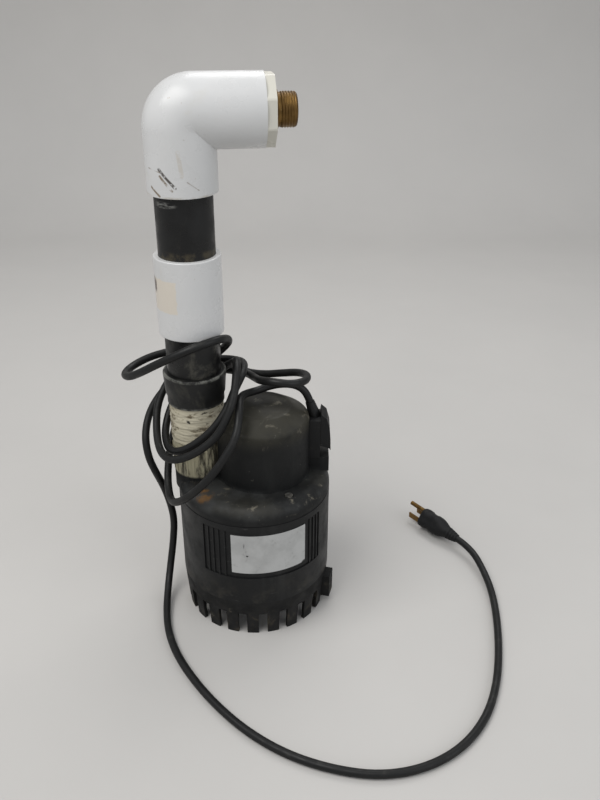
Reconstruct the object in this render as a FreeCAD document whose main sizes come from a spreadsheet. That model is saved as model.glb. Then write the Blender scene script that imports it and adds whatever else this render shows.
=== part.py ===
"""Submersible side-discharge pump with its riser pipe, elbow and power cord.

Frame: +Z up, the base stands on Z = 0 with its centre at the origin, the label faces -Y,
the discharge pipe stands on the -X side and the hose outlet points towards +X.
All sizes are millimetres and come from the sheet "Sizes".
"""
import FreeCAD, Part
import math
import os

import Sketcher

Vector = FreeCAD.Vector
doc = FreeCAD.newDocument("pump")

# ---------------------------------------------------------------- driving dimensions
DRIVING = {
    # overall stack
    "body_r": 72.5, "body_wall": 3.5, "base_top": 40.0, "shell_top": 129.0,
    "gasket_gap": 1.0, "shoulder_top": 146.0, "shoulder_round": 13.0, "plate_thick": 4.0,
    # base strainer
    "base_foot_r": 69.4, "base_flange_in_r": 52.0, "slot_width": 8.6, "slot_height": 25.0,
    "slot_count": 22, "lug_reach": 7.5, "lug_width": 15.0, "lug_height": 25.0, "lug_angle": -14.0,
    "lug_low": 8.0,
    # motor dome, on the shaft axis
    "shaft_x": 8.4, "dome_r": 44.2, "dome_wall": 3.6, "dome_top": 215.0, "dome_cap_r": 27.0,
    "dome_slope_z": 204.0,
    # discharge column
    "pipe_x": -51.5, "pipe_r": 24.15, "pipe_bore_r": 20.4, "socket_gap": 0.06,
    "stub_r": 24.1, "stub_bore_r": 19.0, "stub_top": 236.0, "tape_low": 184.0, "tape_thick": 0.9,
    "collar_low": 222.0, "collar_band_low": 231.0, "collar_top": 252.0, "collar_low_r": 25.9,
    "collar_band_r": 27.0, "collar_rim_r": 28.4, "collar_stop": 2.0,
    "coupling_low": 289.7, "coupling_top": 359.2, "coupling_r": 28.5, "coupling_stop": 2.4,
    "elbow_low": 411.2, "arm_z": 472.2, "fitting_r": 28.8, "bend_r": 12.0, "arm_reach": 66.5,
    "socket_depth": 35.0, "arm_yaw": 9.0,
    "bush_flange": 7.6, "bush_flat": 26.9, "bush_corner_r": 28.8, "bush_spigot": 30.0,
    "hose_r": 13.75, "hose_root_r": 13.2, "hose_bore_r": 9.5, "hose_lip_r": 15.6, "hose_lip": 2.8,
    "hose_neck": 2.3, "hose_thread": 13.0, "hose_round": 1.6,
    # pump end
    "suction_thick": 4.0, "eye_r": 15.0, "neck_wall": 3.0, "neck_drop": 6.0,
    "volute_r": 45.0, "volute_wall": 4.0, "volute_top": 62.0, "volute_flange_r": 52.5,
    "riser_r": 16.8, "riser_bore_r": 14.0, "riser_top": 160.0,
    "impeller_r": 38.0, "hub_r": 9.0, "vane_thick": 2.6, "vane_count": 5,
    # motor
    "shaft_r": 5.0, "shaft_low": 42.0, "shaft_high": 203.0, "run_gap": 0.05, "end_plate_top": 68.0,
    "can_r": 41.5, "can_wall": 2.3, "can_top": 141.0, "stator_low": 92.0, "stator_high": 138.0,
    "stator_bore_r": 24.6, "air_gap": 0.4, "winding_r": 35.5, "bush_r": 11.0, "bush_len": 12.0,
    "seat_r": 12.0,
    # screws
    "screw_r": 2.0, "screw_head_r": 3.6, "screw_head": 2.5, "pillar_r": 6.0, "pillar_ring": 58.0,
    "base_screw_ring": 64.0, "boss_r": 5.2, "bolt_ring": 48.9,
    # label panel
    "panel_low": 70.0, "panel_high": 122.5, "panel_depth": 1.2, "label_low": 75.6,
    "label_high": 118.4, "label_thick": 0.25,
    # cord gland
    "gland_y": 8.0, "gland_low": 160.0, "gland_high": 200.0, "gland_width": 24.0, "gland_out": 63.0,
    "clamp_thick": 4.5,
    # power cord and plug
    "cord_d": 7.2, "boot_len": 20.0, "boot_r": 6.2, "plug_r": 12.4, "plug_len": 36.0,
    "relief_len": 15.0, "relief_r": 7.0, "blade_len": 17.0, "blade_w": 6.4, "blade_t": 1.6,
    "blade_pitch": 12.7, "pin_r": 2.4, "pin_len": 20.0, "pin_drop": 11.9,
}

sheet = doc.addObject("Spreadsheet::Sheet", "Sizes")
for row, (alias, number) in enumerate(DRIVING.items(), start=1):
    sheet.set(f"A{row}", alias)
    sheet.set(f"B{row}", str(number))
    sheet.setAlias(f"B{row}", alias)
doc.recompute()


class Term:
    """A size with its spreadsheet expression and its present value."""

    def __init__(self, text, value):
        self.text = text
        self.value = float(value)

    @staticmethod
    def of(thing):
        return thing if isinstance(thing, Term) else Term(repr(float(thing)), thing)

    def join(self, sign, other, value):
        return Term(f"({self.text} {sign} {other.text})", value)

    def __add__(self, other):
        other = Term.of(other)
        return self.join("+", other, self.value + other.value)

    def __sub__(self, other):
        other = Term.of(other)
        return self.join("-", other, self.value - other.value)

    def __mul__(self, other):
        other = Term.of(other)
        return self.join("*", other, self.value * other.value)

    def __truediv__(self, other):
        other = Term.of(other)
        return self.join("/", other, self.value / other.value)

    def __radd__(self, other):
        return Term.of(other) + self

    def __rsub__(self, other):
        return Term.of(other) - self

    def __rmul__(self, other):
        return Term.of(other) * self

    def __neg__(self):
        return Term.of(0) - self


class Sizes:
    """Attribute access to the sheet: size.body_r is the Term of that cell."""

    def __getattr__(self, alias):
        return Term(f"Sizes.{alias}", getattr(sheet, alias))


size = Sizes()
nodes = {}
names = {}


def new(kind, stem):
    """Adds a document object with a fresh internal name."""
    names[stem] = names.get(stem, 0) + 1
    return doc.addObject(kind, f"{stem}_{names[stem]}")


def bind(thing, prop, amount):
    """Sets a property to a number, or ties it to the sheet."""
    if isinstance(amount, Term):
        thing.setExpression(prop, amount.text)
    else:
        container = thing
        steps = prop.split(".")
        if len(steps) == 1:
            setattr(container, prop, amount)
        else:
            thing.setExpression(prop, repr(float(amount)))


def place(thing, at=(0, 0, 0), turn=None):
    """Puts a primitive at a point, with an optional rotation."""
    if turn is not None:
        thing.Placement = FreeCAD.Placement(Vector(0, 0, 0), turn)
    for axis, amount in zip("xyz", at):
        if isinstance(amount, Term) or amount:
            bind(thing, f"Placement.Base.{axis}", Term.of(amount))
    return thing


def about_z(degrees):
    return FreeCAD.Rotation(Vector(0, 0, 1), degrees)


def cylinder(stem, radius, height, at=(0, 0, 0), turn=None):
    solid = new("Part::Cylinder", stem)
    bind(solid, "Radius", Term.of(radius))
    bind(solid, "Height", Term.of(height))
    return place(solid, at, turn)


def cone(stem, r_low, r_high, height, at=(0, 0, 0), turn=None):
    solid = new("Part::Cone", stem)
    bind(solid, "Radius1", Term.of(r_low))
    bind(solid, "Radius2", Term.of(r_high))
    bind(solid, "Height", Term.of(height))
    return place(solid, at, turn)


def box(stem, length, width, height, at=(0, 0, 0), turn=None):
    solid = new("Part::Box", stem)
    bind(solid, "Length", Term.of(length))
    bind(solid, "Width", Term.of(width))
    bind(solid, "Height", Term.of(height))
    return place(solid, at, turn)


def prism(stem, sides, circumradius, height, at=(0, 0, 0), turn=None):
    solid = new("Part::Prism", stem)
    solid.Polygon = sides
    bind(solid, "Circumradius", Term.of(circumradius))
    bind(solid, "Height", Term.of(height))
    return place(solid, at, turn)


def fuse(stem, *solids):
    joined = new("Part::MultiFuse", stem)
    joined.Shapes = list(solids)
    return joined


def cut(stem, base, *tools):
    result = new("Part::Cut", stem)
    result.Base = base
    result.Tool = tools[0] if len(tools) == 1 else fuse(f"{stem}_tools", *tools)
    return result


def common(stem, *solids):
    result = new("Part::MultiCommon", stem)
    result.Shapes = list(solids)
    return result


def group(stem, *solids):
    """Separate solids that share one node."""
    result = new("Part::Compound", stem)
    result.Links = list(solids)
    return result


def tube(stem, r_out, r_in, height, at=(0, 0, 0), turn=None):
    return cut(stem, cylinder(f"{stem}_out", r_out, height, at, turn),
               cylinder(f"{stem}_in", r_in, height, at, turn))


def node(name, thing):
    """Names a finished sub-part."""
    thing.Label = name
    nodes[name] = thing
    return thing


def plane_of(body, role):
    return next(item for item in body.Origin.OriginFeatures if item.Role == role)


def tie_vertex(sketch, geometry, end, across, up):
    """Fixes one corner of a profile to its two sizes from the sketch origin."""
    for kind, amount, axis in (("DistanceX", across, -2), ("DistanceY", up, -1)):
        amount = Term.of(amount)
        if abs(amount.value) < 1e-9:
            sketch.addConstraint(Sketcher.Constraint("PointOnObject", geometry, end, axis))
            continue
        ends = (-1, 1, geometry, end) if amount.value > 0 else (geometry, end, -1, 1)
        size_text = amount.text if amount.value > 0 else f"-({amount.text})"
        index = sketch.addConstraint(Sketcher.Constraint(kind, *ends, abs(amount.value)))
        sketch.setExpression(f"Constraints[{index}]", size_text)


def outline(body, role, corners):
    """A closed straight-sided sketch on one of the body's own planes."""
    sketch = body.newObject("Sketcher::SketchObject", f"{body.Name}_sketch")
    sketch.AttachmentSupport = [(plane_of(body, role), "")]
    sketch.MapMode = "FlatFace"
    return draw(sketch, corners)


def draw(sketch, corners):
    """Fills a sketch with a closed polygon whose corners follow the sheet."""
    points = [Vector(Term.of(x).value, Term.of(y).value, 0) for x, y in corners]
    count = len(points)
    for index in range(count):
        sketch.addGeometry(Part.LineSegment(points[index], points[(index + 1) % count]), False)
    for index in range(count):
        sketch.addConstraint(Sketcher.Constraint("Coincident", index, 2, (index + 1) % count, 1))
    for index, (across, up) in enumerate(corners):
        tie_vertex(sketch, index, 1, across, up)
    return sketch


def turned(stem, corners, at=(0, 0, 0), rounds=()):
    """A body of revolution about Z. rounds lists (rim radius, rim height, fillet radius)."""
    sketch = new("Sketcher::SketchObject", f"{stem}_profile")
    sketch.Placement = FreeCAD.Placement(Vector(0, 0, 0), FreeCAD.Rotation(Vector(1, 0, 0), 90))
    draw(sketch, corners)
    spin = new("Part::Revolution", stem)
    spin.Source = sketch
    spin.Axis = Vector(0, 0, 1)
    spin.Base = Vector(0, 0, 0)
    spin.Angle = 360.0
    spin.Solid = True
    place(spin, at)
    return rounded(stem, spin, rounds)


def rounded(stem, solid, rounds):
    """Fillets the circular rims listed as (rim radius, rim height, fillet radius)."""
    doc.recompute()
    for rim_r, rim_z, radius in rounds:
        rim_r, rim_z, radius = Term.of(rim_r).value, Term.of(rim_z).value, Term.of(radius).value
        fillet = new("Part::Fillet", f"{stem}_round")
        fillet.Base = solid
        fillet.Edges = [(number, radius, radius)
                        for number, edge in enumerate(solid.Shape.Edges, start=1)
                        if is_rim(edge, rim_r, rim_z)]
        doc.recompute()
        solid = fillet
    return solid


def stack(stem, corners):
    """Cylinders and cones one above the other on the shaft axis, as one solid."""
    pieces = []
    for (r_low, z_low), (r_high, z_high) in zip(corners, corners[1:]):
        at = (size.shaft_x, 0, z_low)
        if Term.of(r_low).value == Term.of(r_high).value:
            pieces.append(cylinder(f"{stem}_step", r_low, z_high - z_low, at))
        else:
            pieces.append(cone(f"{stem}_step", r_low, r_high, z_high - z_low, at))
    return fuse(stem, *pieces)


def is_rim(edge, radius, height):
    curve = edge.Curve
    return (isinstance(curve, Part.Circle) and abs(curve.Radius - radius) < 1e-3
            and abs(curve.Center.z - height) < 1e-3)


def padded(stem, corners, depth, at=(0, 0, 0), turn=None, role="XY_Plane"):
    """A straight-sided plate: a sketch pushed out by its depth."""
    body = new("PartDesign::Body", stem)
    sketch = outline(body, role, corners)
    pad = body.newObject("PartDesign::Pad", f"{body.Name}_pad")
    pad.Profile = sketch
    bind(pad, "Length", Term.of(depth))
    pad.Midplane = True
    return place(body, at, turn)


def ring_points(radius, angles, centre_x=0.0):
    """Points on a circle about a vertical axis, as terms."""
    points = []
    for angle in angles:
        c, s = math.cos(math.radians(angle)), math.sin(math.radians(angle))
        points.append((centre_x + radius * c, radius * s))
    return points


# ---------------------------------------------------------------- base strainer
PILLAR_ANGLES = (-54.0, 36.0, 126.0, -144.0)
BASE_SCREW_ANGLES = (-54.0, 36.0, 126.0, -144.0)
BOLT_ANGLES = (-110.0, -30.0, 30.0, 110.0)
HIDDEN = 1.0

base_screw_points = ring_points(size.base_screw_ring, BASE_SCREW_ANGLES)


def make_base():
    foot_in = size.base_foot_r - size.body_wall
    flange_low = size.base_top - size.plate_thick
    skirt = turned("base_skirt", [
        (foot_in, 0), (size.base_foot_r, 0), (size.body_r, size.base_top),
        (size.base_flange_in_r, size.base_top), (size.base_flange_in_r, flange_low),
        (size.body_r - size.body_wall - 0.6, flange_low)])
    count = round(size.slot_count.value)
    slots = []
    for index in range(count):
        angle = -90.0 + 360.0 * index / count + 7.9
        c, s = math.cos(math.radians(angle)), math.sin(math.radians(angle))
        near = foot_in - 8.0
        slots.append(box("base_slot", size.body_wall + 16.0, size.slot_width,
                         size.slot_height + HIDDEN,
                         (near * c + size.slot_width * (0.5 * s),
                          near * s - size.slot_width * (0.5 * c), -HIDDEN), about_z(angle)))
    angle = size.lug_angle.value
    c, s = math.cos(math.radians(angle)), math.sin(math.radians(angle))
    lug_near = size.base_foot_r - size.body_wall * 0.6
    lug = box("base_lug", size.lug_reach + size.body_wall, size.lug_width, size.lug_height,
              (lug_near * c + size.lug_width * (0.5 * s), lug_near * s - size.lug_width * (0.5 * c),
               size.lug_low), about_z(angle))
    slotted = fuse("base_with_lug", cut("base_slotted", skirt, *slots), lug)
    holes = [cylinder("base_hole", size.screw_r + 0.2, size.plate_thick + 2 * HIDDEN,
                      (x, y, flange_low - HIDDEN)) for x, y in base_screw_points]
    node("base_strainer", cut("base_strainer", slotted, *holes))
    screws = []
    for x, y in base_screw_points:
        head = cylinder("base_screw_head", size.screw_head_r, size.screw_head,
                        (x, y, flange_low - size.screw_head))
        shank = cylinder("base_screw_shank", size.screw_r, size.plate_thick + 12.0,
                         (x, y, flange_low - 0.5))
        screws.append(fuse("base_screw", head, shank))
    node("base_screws", group("base_screws", *screws))


# ---------------------------------------------------------------- lower shell with label panel
PANEL_FROM, PANEL_TO = -128.0, -31.0
LABEL_FROM, LABEL_TO = -105.0, -46.6
RIB_ANGLES = (-124.5, -120.0, -115.5, -110.5, -42.5, -38.5, -34.5)


def wedge(stem, r_in, r_out, low, high, start, stop):
    """A curved block between two radii, two heights and two angles."""
    outer = cylinder(f"{stem}_out", r_out, high - low, (0, 0, low), about_z(start))
    outer.Angle = stop - start
    inner = cylinder(f"{stem}_in", r_in, high - low, (0, 0, low), about_z(start))
    inner.Angle = stop - start
    return cut(stem, outer, inner)


def make_shell():
    inside = size.body_r - size.body_wall
    height = size.shell_top - size.base_top
    wall = tube("shell_wall", size.body_r, inside, height, (0, 0, size.base_top))
    pads = []
    pilots = []
    for x, y in base_screw_points:
        pads.append(cylinder("shell_boss", size.boss_r, 16.0, (x, y, size.base_top)))
        pilots.append(cylinder("shell_pilot", size.screw_r + size.run_gap, 14.0,
                               (x, y, size.base_top - HIDDEN)))
    pillar_low = size.shell_top - 24.0
    for angle, (x, y) in zip(PILLAR_ANGLES, ring_points(size.pillar_ring, PILLAR_ANGLES)):
        pads.append(cylinder("shell_pillar", size.pillar_r, 24.0, (x, y, pillar_low)))
        pads.append(web("shell_web", angle, pillar_low, 24.0))
        pilots.append(cylinder("pillar_pilot", size.screw_r + size.run_gap, 22.0,
                               (x, y, size.shell_top - 20.0)))
    floor = size.body_r - size.panel_depth
    recess = wedge("panel", floor, size.body_r + 2.0, size.panel_low, size.panel_high,
                   PANEL_FROM, PANEL_TO)
    ribs = [wedge("rib", floor - 0.5, size.body_r - 0.15, size.panel_low + 0.5,
                  size.panel_high - 0.5, angle, angle + 1.3) for angle in RIB_ANGLES]
    recessed = cut("shell_recessed", wall, recess)
    full = fuse("shell_full", recessed, *pads, *ribs)
    node("motor_shell", cut("motor_shell", full, *pilots))
    node("blank_label", wedge("blank_label", floor, floor + size.label_thick, size.label_low,
                              size.label_high, LABEL_FROM, LABEL_TO))


def web(stem, angle, low, height):
    """Ties a screw pillar to the wall outside it."""
    c, s = math.cos(math.radians(angle)), math.sin(math.radians(angle))
    thick = 5.0
    reach = size.body_r - size.body_wall + 0.8 - size.pillar_ring
    return box(stem, reach, thick, height,
               (size.pillar_ring * c + 0.5 * thick * s, size.pillar_ring * s - 0.5 * thick * c, low),
               about_z(angle))


# ---------------------------------------------------------------- upper housing
def make_housing():
    inside = size.body_r - size.body_wall
    seam = size.shell_top + size.gasket_gap
    under = size.shoulder_top - size.plate_thick
    shoulder_out = rounded("shoulder_out", cylinder("shoulder_out", size.body_r,
                                                    size.shoulder_top - seam, (0, 0, seam)),
                           [(size.body_r, size.shoulder_top, size.shoulder_round)])
    shoulder_in = rounded("shoulder_in", cylinder("shoulder_in", inside, under - seam + HIDDEN,
                                                  (0, 0, seam - HIDDEN)),
                          [(inside, under, size.shoulder_round - size.body_wall)])
    slope_rise = size.dome_top - size.dome_slope_z
    turn_z = size.dome_slope_z - 2.5
    dome = stack("dome", [
        (size.dome_r, under), (size.dome_r, turn_z), (size.dome_r - 0.23, turn_z + 1.54),
        (size.dome_r - 0.9, turn_z + 2.94), (size.dome_r - 1.95, turn_z + 4.08),
        (size.dome_cap_r + 1.2, size.dome_top - 0.7), (size.dome_cap_r - 1.0, size.dome_top)])
    cavity_r = size.dome_r - size.dome_wall
    cavity = fuse("cavity", cylinder("cavity_wall", cavity_r, size.dome_slope_z - 3.0 - under + HIDDEN,
                                     (size.shaft_x, 0, under - HIDDEN)),
                  cone("cavity_slope", cavity_r, size.dome_cap_r - 2.0,
                       slope_rise + 3.0 - size.dome_wall, (size.shaft_x, 0, size.dome_slope_z - 3.0)))
    notch_r = size.stub_r + size.tape_thick + 0.5
    dome_wall_low = size.tape_low - 24.0
    guard = cylinder("guard", notch_r + size.dome_wall, size.dome_top - dome_wall_low + HIDDEN,
                     (size.pipe_x, 0, dome_wall_low))
    room = cut("motor_room", cavity, guard)
    bearing_boss = cylinder("bearing_boss", size.bush_r + 3.5, 18.0,
                            (size.shaft_x, 0, size.dome_top - size.dome_wall - 17.0))
    pillars = []
    holes = []
    for angle, (x, y) in zip(PILLAR_ANGLES, ring_points(size.pillar_ring, PILLAR_ANGLES)):
        pillars.append(cylinder("pillar", size.pillar_r, under - seam + 1.0, (x, y, seam)))
        pillars.append(web("pillar_web", angle, seam, under - seam - 3.0))
        holes.append(cylinder("pillar_hole", size.screw_r + 0.2, size.shoulder_top - seam + 2.0,
                              (x, y, seam - HIDDEN)))
        holes.append(cylinder("head_seat", size.screw_head_r + 0.4, 20.0,
                              (x, y, size.shoulder_top - 1.2)))
    for x, y in ring_points(size.bolt_ring, BOLT_ANGLES, size.shaft_x):
        pillars.append(cylinder("bolt_boss", size.boss_r - 0.2, 11.0, (x, y, under - 10.5)))
        holes.append(cylinder("bolt_pilot", size.screw_r + size.run_gap, 12.0,
                              (x, y, under - 10.5 - HIDDEN)))
    gland_pad = box("gland_pad", 22.0, size.gland_width - 2.0, size.gland_low - size.shoulder_top + 1.0,
                    (size.shaft_x + size.dome_r - 3.0,
                     size.gland_y - size.gland_width * 0.5 + 1.0, size.shoulder_top - 1.0))
    notch = cylinder("tape_notch", notch_r, size.dome_top - size.tape_low + 2.0,
                     (size.pipe_x, 0, size.tape_low))
    stub = cylinder("stub", size.stub_r, size.stub_top - under + 10.0, (size.pipe_x, 0, under - 10.0))
    ribs = [box("stub_rib", 1.6, 2.0, 26.0,
                (size.pipe_x + (size.stub_r - 0.9) * math.cos(math.radians(angle)),
                 (size.stub_r - 0.9) * math.sin(math.radians(angle)), size.shoulder_top + 6.0),
                about_z(angle)) for angle in range(-175, -50, 15)]
    outside = fuse("housing_outside", shoulder_out, cut("dome_notched", dome, notch), stub, gland_pad)
    shell = cut("housing_hollow", cut("housing_low", outside, shoulder_in), room)
    bore = cylinder("stub_bore", size.stub_bore_r, size.stub_top - under + 2 * HIDDEN,
                    (size.pipe_x, 0, under - HIDDEN))
    joined = fuse("housing_joined", shell, bearing_boss, *pillars, *ribs)
    bearing_seat = cylinder("bearing_seat", size.bush_r, size.bush_len + 1.0,
                            (size.shaft_x, 0, size.dome_top - size.dome_wall - 17.0))
    lead_hole = cylinder("lead_hole", 4.0, 14.0,
                         (size.shaft_x + size.dome_r - 10.0, size.gland_y, size.gland_low + 17.0),
                         FreeCAD.Rotation(Vector(0, 1, 0), 90))
    riser_way = cylinder("riser_way", size.riser_r + 0.6, 14.0, (size.pipe_x, 0, under - 13.0))
    node("upper_housing", cut("upper_housing", joined, bore, riser_way, bearing_seat, lead_hole,
                              nodes["strain_relief"], *holes))
    node("housing_gasket", tube("housing_gasket", size.body_r - 0.4, inside + 0.3, size.gasket_gap,
                                (0, 0, size.shell_top)))
    screws = []
    for x, y in ring_points(size.pillar_ring, PILLAR_ANGLES):
        seat = size.shoulder_top - 1.2
        head = cylinder("top_screw_head", size.screw_head_r, size.screw_head, (x, y, seat))
        shank = cylinder("top_screw_shank", size.screw_r, seat - size.shell_top + 18.0,
                         (x, y, size.shell_top - 17.5))
        slot = box("top_screw_slot", 2.0 * size.screw_head_r, 1.0, 1.1,
                   (x - size.screw_head_r, y - 0.5, seat + size.screw_head - 1.0))
        screws.append(cut("top_screw", fuse("top_screw_body", head, shank), slot))
    node("housing_screws", group("housing_screws", *screws))


# ---------------------------------------------------------------- pump end
volute_low = size.base_top + size.suction_thick + 1.0


def make_pump_end():
    x0 = size.shaft_x
    plate = fuse("suction_solid",
                 cylinder("suction_disc", size.base_screw_ring - size.boss_r - 0.3,
                          size.suction_thick, (0, 0, size.base_top)),
                 cylinder("suction_wing", size.riser_r, size.suction_thick,
                          (size.pipe_x, 0, size.base_top)),
                 cylinder("suction_neck", size.eye_r + size.neck_wall, size.neck_drop + HIDDEN,
                          (x0, 0, size.base_top - size.neck_drop)))
    eye = cylinder("suction_eye", size.eye_r, size.suction_thick + size.neck_drop + 2 * HIDDEN,
                   (x0, 0, size.base_top - size.neck_drop - HIDDEN))
    node("suction_plate", cut("suction_plate", plate, eye))
    node("volute_gasket", tube("volute_gasket", size.volute_r + 0.8,
                               size.volute_r - size.volute_wall + 0.4, 1.0,
                               (x0, 0, volute_low - 1.0)))
    case_height = size.volute_top - volute_low
    chamber_r = size.volute_r - size.volute_wall
    duct_w = 2.0 * size.riser_r
    outside = fuse("volute_outside",
                   cylinder("volute_case", size.volute_r, case_height, (x0, 0, volute_low)),
                   cylinder("volute_flange", size.volute_flange_r, size.volute_wall,
                            (x0, 0, size.volute_top - size.volute_wall)),
                   box("volute_duct", x0 - size.pipe_x - 20.0, duct_w, case_height,
                       (size.pipe_x, -size.riser_r, volute_low)),
                   cylinder("volute_riser", size.riser_r, size.riser_top - volute_low,
                            (size.pipe_x, 0, volute_low)))
    duct_in = 2.0 * size.riser_bore_r
    inside = fuse("volute_inside",
                  cylinder("chamber", chamber_r, case_height - size.volute_wall + HIDDEN,
                           (x0, 0, volute_low - HIDDEN)),
                  box("duct_room", x0 - size.pipe_x - 20.0, duct_in,
                      case_height - size.volute_wall - 1.0,
                      (size.pipe_x, -size.riser_bore_r, volute_low + 1.0)),
                  cylinder("riser_bore", size.riser_bore_r, size.riser_top - volute_low,
                           (size.pipe_x, 0, volute_low + 1.0)),
                  cylinder("seal_hole", size.hub_r + 1.6, size.volute_wall + 2 * HIDDEN,
                           (x0, 0, size.volute_top - size.volute_wall - HIDDEN)))
    bolt_holes = [cylinder("volute_bolt_hole", size.screw_r + 0.1, size.volute_wall + 2 * HIDDEN,
                           (x, y, size.volute_top - size.volute_wall - HIDDEN))
                  for x, y in ring_points(size.bolt_ring, BOLT_ANGLES, x0)]
    node("volute_casing", cut("volute_casing", outside, inside, *bolt_holes))
    node("riser_seal", tube("riser_seal", size.stub_bore_r - 0.05, size.riser_r + 0.05, 5.0,
                            (size.pipe_x, 0, size.shoulder_top + 2.0)))


def make_motor():
    x0 = size.shaft_x
    top = size.end_plate_top
    plate = fuse("end_plate_solid",
                 cylinder("end_disc", size.volute_flange_r, top - size.volute_top,
                          (x0, 0, size.volute_top)),
                 cylinder("end_boss", size.bush_r + 6.0, size.bush_len, (x0, 0, top)))
    holes = [cylinder("end_bolt_hole", size.screw_r + 0.1, top - size.volute_top + 2 * HIDDEN,
                      (x, y, size.volute_top - HIDDEN))
             for x, y in ring_points(size.bolt_ring, BOLT_ANGLES, x0)]
    seat = cylinder("seat_hole", size.seat_r, 4.0 + HIDDEN, (x0, 0, size.volute_top - HIDDEN))
    bush_hole = cylinder("bush_hole", size.bush_r, size.bush_len + 4.0, (x0, 0, top - 2.0))
    riser_room = cylinder("riser_room", size.riser_r + 0.5, top - size.volute_top + 2 * HIDDEN,
                          (size.pipe_x, 0, size.volute_top - HIDDEN))
    node("motor_end_plate", cut("motor_end_plate", plate, seat, bush_hole, riser_room, *holes))
    can_in = size.can_r - size.can_wall
    node("motor_can", tube("motor_can", size.can_r, can_in, size.can_top - top, (x0, 0, top)))
    stator_h = size.stator_high - size.stator_low
    core = cylinder("stator_out", can_in - 0.03, stator_h, (x0, 0, size.stator_low))
    teeth = [cylinder("stator_slot", 2.6, stator_h + 2 * HIDDEN,
                      (x, y, size.stator_low - HIDDEN))
             for x, y in ring_points(size.stator_bore_r + 4.4, range(0, 360, 20), x0)]
    bore = cylinder("stator_bore", size.stator_bore_r, stator_h + 2 * HIDDEN,
                    (x0, 0, size.stator_low - HIDDEN))
    node("stator_core", cut("stator_core", core, bore, *teeth))
    coil_in = size.stator_bore_r + 1.6
    node("stator_windings", group(
        "stator_windings",
        tube("winding_low", size.winding_r, coil_in, 9.0, (x0, 0, size.stator_low - 9.0)),
        tube("winding_high", size.winding_r, coil_in, 11.0, (x0, 0, size.stator_high))))
    node("lower_bush", tube("lower_bush", size.bush_r - 0.02, size.shaft_r + size.run_gap,
                            size.bush_len, (x0, 0, top - 0.0)))
    node("upper_bush", tube("upper_bush", size.bush_r - 0.02, size.shaft_r + size.run_gap,
                            size.bush_len,
                            (x0, 0, size.dome_top - size.dome_wall - 16.5)))
    node("seal_seat", tube("seal_seat", size.seat_r - 0.02, size.shaft_r + 0.5, 4.0,
                           (x0, 0, size.volute_top)))
    bolts = []
    for x, y in ring_points(size.bolt_ring, BOLT_ANGLES, x0):
        low = size.volute_top - size.volute_wall
        head = prism("bolt_head", 6, size.screw_head_r, 3.0, (x, y, low - 3.0))
        shank = cylinder("bolt_shank", size.screw_r,
                         size.shoulder_top - size.plate_thick - low - 1.0, (x, y, low - 0.5))
        bolts.append(fuse("bolt", head, shank))
    node("motor_bolts", group("motor_bolts", *bolts))
    node("overload_protector", box("overload_protector", 9.0, 15.0, 6.0,
                                   (x0 + size.winding_r - 9.5, -7.5, size.stator_high + 11.0)))


def make_rotor():
    x0 = size.shaft_x
    snug = 0.02
    node("rotor_shaft", cylinder("rotor_shaft", size.shaft_r, size.shaft_high - size.shaft_low,
                                 (x0, 0, size.shaft_low)))
    node("rotor_core", tube("rotor_core", size.stator_bore_r - size.air_gap, size.shaft_r + snug,
                            size.stator_high - size.stator_low + 4.0,
                            (x0, 0, size.stator_low - 2.0)))
    low = volute_low + 1.5
    shroud_z = low + 7.5
    hub_top = size.volute_top - size.volute_wall - 0.5
    hub = cylinder("hub", size.hub_r, hub_top - low, (x0, 0, low))
    shroud = cylinder("shroud", size.impeller_r, 2.6, (x0, 0, shroud_z))
    vanes = []
    count = round(size.vane_count.value)
    for index in range(count):
        angle = 360.0 * index / count
        sweep = cylinder("vane_out", 26.0, shroud_z - low + 0.5,
                         (x0 + 20.0 * math.cos(math.radians(angle)),
                          20.0 * math.sin(math.radians(angle)), low))
        hollow = cylinder("vane_in", 26.0 - size.vane_thick, shroud_z - low + 2.5,
                          (x0 + 20.0 * math.cos(math.radians(angle)),
                           20.0 * math.sin(math.radians(angle)), low - 1.0))
        half = box("vane_half", 60.0, 60.0, shroud_z - low + 4.0,
                   (x0, 0, low - 2.0), about_z(angle - 8.0))
        vanes.append(common("vane", cut("vane_arc", sweep, hollow), half))
    rim = cylinder("vane_rim", size.impeller_r, shroud_z - low + 1.0, (x0, 0, low))
    blades = common("vanes", fuse("vane_set", *vanes), rim)
    solid = fuse("impeller_solid", hub, shroud, blades)
    node("impeller", cut("impeller", solid, cylinder("impeller_bore", size.shaft_r + snug,
                                                     30.0, (x0, 0, low - 5.0))))
    nut = prism("nut", 6, 8.2, low - size.shaft_low - 0.6, (x0, 0, size.shaft_low + 0.6))
    node("impeller_nut", cut("impeller_nut", nut, cylinder("nut_bore", size.shaft_r + snug, 10.0,
                                                           (x0, 0, size.shaft_low - 1.0))))
    node("seal_ring", tube("seal_ring", size.hub_r + 0.6, size.shaft_r + snug,
                           size.volute_top - hub_top - 0.05, (x0, 0, hub_top)))


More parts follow.
